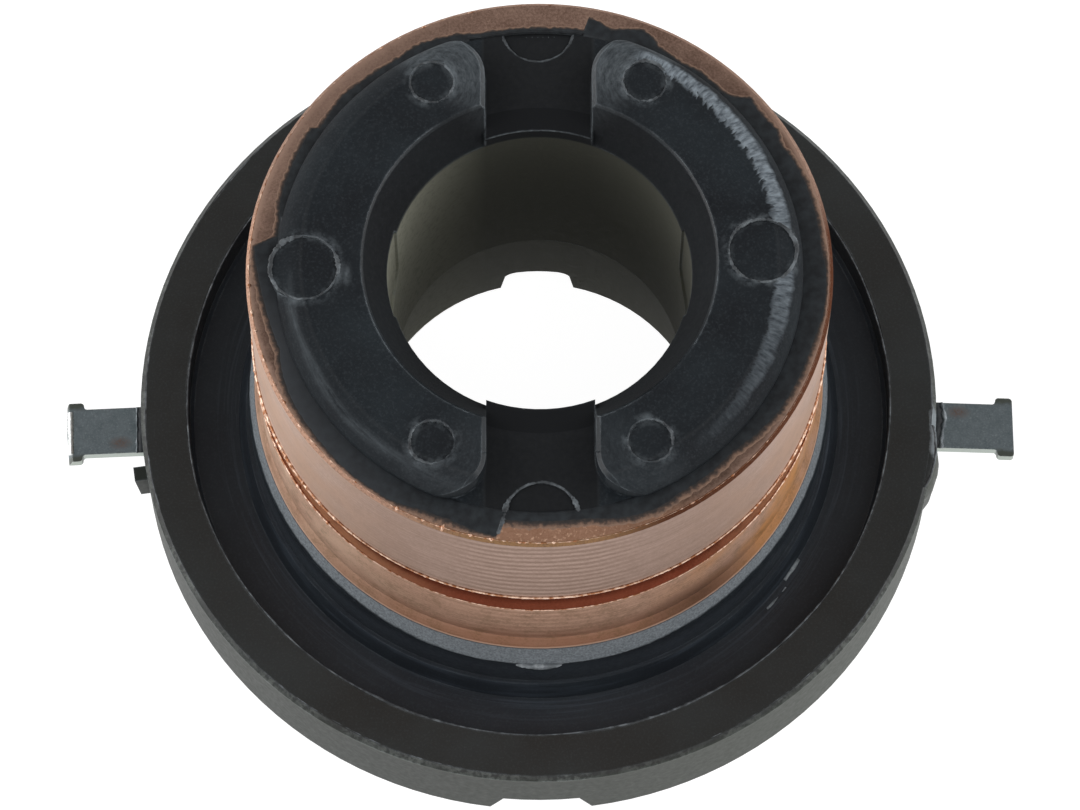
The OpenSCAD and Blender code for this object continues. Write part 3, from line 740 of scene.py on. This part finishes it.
film = {
    "top": channelHeight + 0.035,
    "skin": channelHeight + 0.005,      # where the film ends, just above the copper
    "bottom": channelHeight - 0.02,
    "inner": 14.6,        # mm from the axis
    "limit": 16.36,       # just inside the bevel of the ring
    "fringe": 0.42,       # reach of the brown fringe beyond the black film
    # angle in degrees from +X and reach in mm from the axis, once round
    "edge": [
        (-16, 16.0), (-10, 16.2), (-1, 16.2), (3.5, 16.0), (19, 16.0), (24.7, 15.9), (29, 15.7),
        (32, 16.0), (36.6, 15.8), (40.6, 16.0), (43.5, 15.3), (46, 15.1), (52, 15.25), (57, 15.1),
        (63, 15.3), (65, 15.7), (68, 15.95), (74, 15.35), (77, 15.7), (79.3, 15.8), (79.8, 15.0),
        (88, 14.92), (97, 14.92), (103, 14.95), (108, 15.25), (116, 15.5), (122, 15.3), (129, 15.35),
        (136, 15.5), (145, 15.2), (146, 15.6), (155, 15.45), (164, 15.3), (168, 15.05), (172, 14.95),
        (175, 16.2), (183.5, 15.8), (189, 15.6), (198, 15.4), (204, 15.8), (210, 16.0), (221, 16.1),
        (227, 16.2), (239, 16.2), (245, 15.9), (251, 15.86), (257.6, 16.15), (261, 16.2), (261.6, 15.2),
        (270, 15.16), (279, 15.2), (288, 15.7), (294, 15.8), (300, 15.55), (306, 15.55), (314, 15.4),
        (321, 15.7), (327, 15.9),
    ],
}


def addFilm():
    # The edge is a radius over the angle, straight between the listed points and roughened by short waves.
    # The film is a thin strip that slopes down to it. The fringe goes on from under the film, is thinner
    # still and dips into the copper, and its reach grows towards the front. Its attribute thin runs from 0
    # at the film to 1 at its outer edge.
    first, reachThere = film["edge"][0]
    degrees = np.arange(first, first + 360, 0.2)
    angles = np.radians(degrees)
    known = np.array(film["edge"] + [(first + 360, reachThere)], float)
    edge = np.interp(degrees, known[:, 0], known[:, 1]) + ripple(angles, 3, (61, 97, 143, 211, 300), 0.06)
    top, skin, low = film["top"], film["skin"], film["bottom"]
    inner = np.full_like(edge, film["inner"])
    radii = np.stack([inner, inner, inner + 0.2, edge - 0.3, edge - 0.03, edge, edge], axis=1)
    points = sections(angles, radii, [low, low + 0.01, top, top, skin + 0.004, skin, low])
    gridPiece("flash_film", points, blackFlashAndShade, closedAlong=True)
    reach = film["fringe"] * (0.75 - 0.35 * np.sin(angles) + ripple(angles, 4, (41, 67, 101, 151, 223), 0.3))
    reach = np.minimum(reach, film["limit"] - edge)
    share = np.array([-0.3, 0, 0.2, 0.4, 0.6, 0.8, 1, 1.05, -0.3])
    heights = [skin - 0.01] + [skin + 0.003] * 4 + [skin + 0.002, skin - 0.006, low, low]
    points = sections(angles, edge[:, None] + reach[:, None] * share, heights)
    fringe = gridPiece("flash_fringe", points, fringePhenolic(), closedAlong=True)
    thin = fringe.data.attributes.new("thin", "FLOAT", "POINT")
    thin.data.foreach_set("value", np.tile(np.clip(share, 0, 1), len(angles)))


addFilm()
print("flash film laid")


burrs = {
    # name: (radius, height, least thickness, size of the ragged part, seed, slot, peaks over the angle)
    "front_ring_rear_burr": (16.63, 18.5, 0.07, 0.025, 5, "front_copper",
                             [(203, 32, 1.6), (270, 60, 0.8), (338, 32, 1.3)]),
    "rear_ring_front_burr": (16.62, 16.27, 0.05, 0.022, 6, "rear_copper",
                             [(205, 30, 1.4), (270, 40, 0.5), (335, 35, 1.0)]),
    "front_ring_edge_burr": (16.42, 27.33, 0.012, 0.07, 7, "front_copper",
                             [(185, 45, 1.0), (252, 16, 1.5), (270, 10, 1.5), (120, 30, 0.5),
                              (300, 20, 0.6)]),
}


def addBurrs():
    # a torus of uneven thickness: the positive part of short waves, squared, on top of a thin bead
    angles = np.radians(np.arange(0, 360, 0.2))
    around = np.linspace(0, 2 * np.pi, 6, endpoint=False)
    for name, (radius, height, least, ragged, seed, slotName, peaks) in burrs.items():
        strength = bumps(np.degrees(angles), peaks)
        teeth = np.clip(ripple(angles, seed, (37, 71, 113, 181, 263, 331), 3.0), 0, 1.5) ** 2
        thick = least * (0.3 + strength) + ragged * strength * teeth
        radii = radius + thick[:, None] * np.cos(around)
        heights = height + thick[:, None] * np.sin(around)
        gridPiece(name, sections(angles, radii, heights), burrCopper, closedAlong=True)


addBurrs()
print("burrs turned up")


lips = {
    "height": 0.055,      # mm above the surface at the strongest place
    "width": 0.3,
    "rimWidth": 0.2,
    "sink": 0.03,
    "hidden": 0.3,        # strength below which a lip stays under the surface
    # name: (centre, radius, surface height, first and last angle in degrees, peaks over the angle)
    "marks": {
        "lip_upper_left": ((-markX, markY), smallRadius, padHeight, 0, 360,
                           [(235, 60, 0.8), (330, 40, 0.6), (60, 40, 0.5)]),
        "lip_upper_right": ((markX, markY), smallRadius, padHeight, 0, 360,
                            [(290, 50, 0.6), (80, 50, 0.7), (200, 50, 0.6)]),
        "lip_lower_left": ((-markX, -markY), smallRadius, padHeight, 0, 360,
                           [(190, 60, 0.7), (80, 50, 0.5)]),
        "lip_lower_right": ((markX, -markY), smallRadius, padHeight, 0, 360,
                            [(20, 50, 0.7), (70, 30, 0.4), (190, 30, 0.4)]),
        "lip_left": (leftMark, largeRadius, padHeight, 0, 360,
                     [(130, 30, 1.3), (180, 40, 0.9), (5, 22, 1.3), (300, 50, 0.5), (60, 20, 0.4)]),
        "lip_right": (rightMark, largeRadius, padHeight, 0, 360,
                      [(120, 50, 0.9), (15, 40, 0.9), (215, 30, 0.9), (270, 30, 0.6), (320, 30, 0.5)]),
        "rim_inner_lip": ((0, 0), 21.12, rimHeight, 0, 360,
                          [(180, 28, 0.6), (0, 30, 0.55), (293, 16, 0.9), (247, 12, 0.85), (222, 14, 0.38),
                           (322, 20, 0.5), (90, 60, 0.42)]),
        "rim_outer_lip": ((0, 0), 23.6, rimHeight, 0, 360,
                          [(178, 8, 0.65), (192, 12, 0.45), (359, 4, 0.8), (240, 40, 0.42), (310, 30, 0.42),
                           (140, 14, 0.55)]),
        "lip_channel_rear": ((0, 14.9), 2.05, channelHeight, 188, 352,
                             [(205, 25, 0.6), (270, 45, 0.5), (335, 20, 0.7)]),
        "lip_channel_front": ((0, -14.9), 2.05, channelHeight, 8, 172,
                              [(163, 22, 1.5), (90, 60, 0.6), (15, 25, 1.2)]),
    },
    # straight rows of dots beside the rear channel mark, and a smudge that leads outwards from the front one
    # name: (first end, last end, surface height, number of waves, strength and its swing)
    "rows": {
        "dots_channel_rear": ((-1.0, 14.42), (1.7, 14.42), channelHeight - 0.12, 8, 0.1, 0.6),
        "smudge_front": ((-2.0, -14.6), (-2.45, -15.9), channelHeight + 0.03, 2, 0.85, 0.5),
    },
}


def raiseLip(name, path, side, strength, width, closed=False):
    # a lip is wide and high where it is strong, and stays under the surface where it is weak
    strength = np.clip(strength, 0.0, 1.5)
    height = lips["height"] * (strength - lips["hidden"])
    width = width * (0.3 + 0.7 * strength)
    addRidge(name, path, side, width, height, lips["sink"], rubbed, closed)


def addLips():
    # Each lip follows the edge of its mark with the strength of its bell curves, broken by short waves. The
    # lips of the rim have more points and shorter waves.
    for seed, (name, (centre, radius, surface, first, last, peaks)) in enumerate(lips["marks"].items()):
        closed = last - first == 360
        onRim = surface == rimHeight
        count = 1200 if onRim else 240
        angles = np.radians(np.linspace(first, last, count, endpoint=not closed))
        waves = np.array((7, 13, 23, 37, 51, 70)) * count // 240
        strength = bumps(np.degrees(angles), peaks) * (0.85 + ripple(angles, seed, waves, 0.9))
        side = outwards(angles)
        reach = radius + 0.03 + ripple(angles, seed + 20, (5, 11, 19), 0.05)
        width = lips["rimWidth" if onRim else "width"]
        raiseLip(name, (*centre, surface) + side * reach[:, None], side, strength, width, closed)
    for seed, (name, (first, last, surface, waves, size, swing)) in enumerate(lips["rows"].items()):
        share = np.linspace(0, 1, 80)
        start, end = np.array((*first, surface)), np.array((*last, surface))
        path = start + share[:, None] * (end - start)
        run = (end - start) / np.linalg.norm(end - start)
        side = np.tile([-run[1], run[0], 0.0], (len(share), 1))
        strength = size + swing * ripple(share * 2 * np.pi, seed + 60, (waves, 2 * waves + 1, 3 * waves), 1.0)
        strength = strength * np.sin(share * np.pi) ** 0.3
        raiseLip(name, path, side, strength, lips["width"])


addLips()
print("ejector mark lips raised")


gate = {
    "radius": 17.5,       # mm, just outside the foot of the collar
    "first": 265.2,       # degrees
    "last": 274.0,
    "width": 0.42,
    "leastWidth": 0.05,
    "rise": 0.07,
    "sink": 0.04,
}


def addGateNub():
    # the ragged edge that is left below the collar where the gate was broken off, a lens in plan
    angles = np.radians(np.linspace(gate["first"], gate["last"], 60))
    share = np.linspace(0, np.pi, len(angles))
    strength = np.sin(share) ** 0.6 * (0.85 + ripple(share * 2, 40, (3, 5, 9, 14), 0.35))
    side = outwards(angles)
    path = side * gate["radius"] + (0, 0, collarHeight)
    width, rise = gate["width"] * strength + gate["leastWidth"], gate["rise"] * strength
    addRidge("gate_nub", path, side, width, rise, gate["sink"], whitened)


addGateNub()
print("gate nub left")


scratches = {
    "rise": 0.06,
    "hidden": 0.4,        # strength below which a scratch stays under the surface
    "sink": 0.03,
    # name: (radius, height, first and last angle in degrees, width)
    "runs": {
        "foot_scratch": (18.19, dishHeight + 0.03, -36.5, -31.5, 0.2),
        "dish_scratch": (18.5, dishHeight + 0.01, -43, -37.5, 0.15),
    },
}


def addScratches():
    # bright ragged drags low on the foot at the right
    for seed, (name, (radius, height, first, last, width)) in enumerate(scratches["runs"].items()):
        angles = np.radians(np.linspace(first, last, 160))
        strength = np.clip(0.8 + ripple(angles, seed + 80, (17, 31, 57, 90), 1.3), 0, 1.3)
        side = outwards(angles)
        path = side * (radius + ripple(angles, seed + 90, (9, 15), 0.08))[:, None] + (0, 0, height)
        width, rise = width * (0.3 + strength), scratches["rise"] * (strength - scratches["hidden"])
        addRidge(name, path, side, width, rise, scratches["sink"], whitened)


addScratches()
print("scratches drawn")


# On each strip a black sheet is painted shade in the gap beside the flange; it ends in a whitened lip of
# flash.
shadeSheets = {
    # name: (side, list of (y, distance of the edge from the axis) in mm, width and height of the lip)
    "flash_left": (-1, [(-1.5, 24.46), (-0.5, 24.5), (0.5, 24.52), (1.5, 24.54)], 0.14, 0.1),
    "flash_right": (1, [(-1.6, 24.55), (-0.9, 24.58), (-0.3, 24.7), (0.4, 24.86), (1.0, 24.78), (1.5, 24.68)],
                    0.32, 0.13),
}

strip = {
    "top": 1.9,           # mm, height of the upper face of a terminal strip where it leaves the flange
    "leaves": 24.275,     # mm from the axis
    "lean": 6,            # degrees to the rear
    # a skin here is the black sheet of painted shade on a strip
    "half": 1.48,         # mm, half the width that a skin covers
    "root": 23.9,         # mm from the axis, where a skin starts inside the flange
    "thick": 0.03,        # mm that a skin stands above the strip, and reaches into it
}


def stripTop(reach):
    # the height of a strip's upper face at a distance from the axis
    return strip["top"] - (reach - strip["leaves"]) * math.tan(math.radians(strip["lean"]))


def addShadeSheets():
    # A black sheet of painted shade lies on each strip beside the flange and ends in a raised, whitened lip
    # of flash.
    across = np.linspace(-strip["half"], strip["half"], 60)
    for name, (sign, edge, width, height) in shadeSheets.items():
        known = np.array(edge, float)
        reach = np.interp(across, known[:, 0], known[:, 1]) + ripple(across, 50, (3, 7, 11), 0.03)
        inner = np.full_like(reach, strip["root"])
        radii = np.stack([inner, inner, reach, reach], axis=1)
        heights = stripTop(radii) + strip["thick"] * np.array([-1, 1, 1, -1])
        points = np.stack([sign * radii, np.broadcast_to(across[:, None], radii.shape), heights], axis=2)
        gridPiece(name + "_shade_sheet", points, blackFlashAndShade)
        path = np.stack([sign * reach, across, stripTop(reach)], axis=1)
        side = np.tile([1.0, 0.0, 0.0], (len(across), 1))
        strength = 0.85 + ripple(across, 51, (4, 9, 15), 0.6)
        addRidge(name + "_lip", path, side, width * strength, height * strength, strip["thick"], whitened)


addShadeSheets()
print("flash at the terminals added")


shearedTip = {
    "first": (-28.61, 1.32),     # mm
    "last": (-28.5, -1.45),
    "height": 1.45,
    "width": 0.46,
    "rise": 0.12,
    "sink": 0.04,
}


def addShearedTip():
    # the left strip was sheared off, which left a bright slope along its end
    share = np.linspace(0, 1, 50)
    first, last = (np.array((*shearedTip[key], shearedTip["height"])) for key in ("first", "last"))
    path = first + share[:, None] * (last - first)
    side = np.tile([1.0, 0.0, 0.0], (len(share), 1))
    strength = 0.9 + ripple(share * 2 * np.pi, 95, (2, 5, 9, 14), 0.25)
    width, rise = shearedTip["width"] * strength, shearedTip["rise"] * strength
    addRidge("sheared_tip", path, side, width, rise, shearedTip["sink"], tipTin)


addShearedTip()
print("tip sheared")


lugFlash = {
    "first": -14.2,       # degrees
    "last": -4.6,
    "inner": 23.3,        # mm from the axis, inside the flange
    "wall": 23.8,
    "top": rimHeight - 0.005,
    "middle": 4.6,
    "foot": 2.2,
    "upperSwell": 0.32,   # mm that it stands out above the lug, and beside it
    "lowerSwell": 0.6,
    "lipWidth": 0.2,
    "lipRise": 0.05,
    "sink": 0.03,
}


def addLugFlash():
    # The moulding swells out round the lug at the right. Each section is an outline in radius and height, and
    # its outer side follows a sine arch over the angle. A chalky ridge runs along its upper edge.
    angles = np.radians(np.linspace(lugFlash["first"], lugFlash["last"], 60))
    swell = np.sin(np.linspace(0, np.pi, len(angles))) ** 0.6 * (1 + ripple(angles * 20, 70, (2, 5, 9), 0.1))
    upper = lugFlash["wall"] + lugFlash["upperSwell"] * swell
    lower = lugFlash["wall"] + lugFlash["lowerSwell"] * swell
    inner = np.full_like(upper, lugFlash["inner"])
    radii = np.stack([inner, upper - 0.06, upper, lower, lower - 0.08, inner], axis=1)
    top, middle, foot = lugFlash["top"], lugFlash["middle"], lugFlash["foot"]
    points = sections(angles, radii, [top, top, top - 0.08, middle, foot, foot])
    gridPiece("lug_flash_right", points, moulding)
    side = outwards(angles)
    path = side * (upper - 0.08)[:, None] + (0, 0, top)
    strength = 0.8 + ripple(angles * 20, 71, (7, 13, 21), 0.5)
    width, rise = lugFlash["lipWidth"] * strength, lugFlash["lipRise"] * strength
    addRidge("lug_lip_right", path, side, width, rise, lugFlash["sink"], rubbed)


addLugFlash()
print("flash round the right lug added")
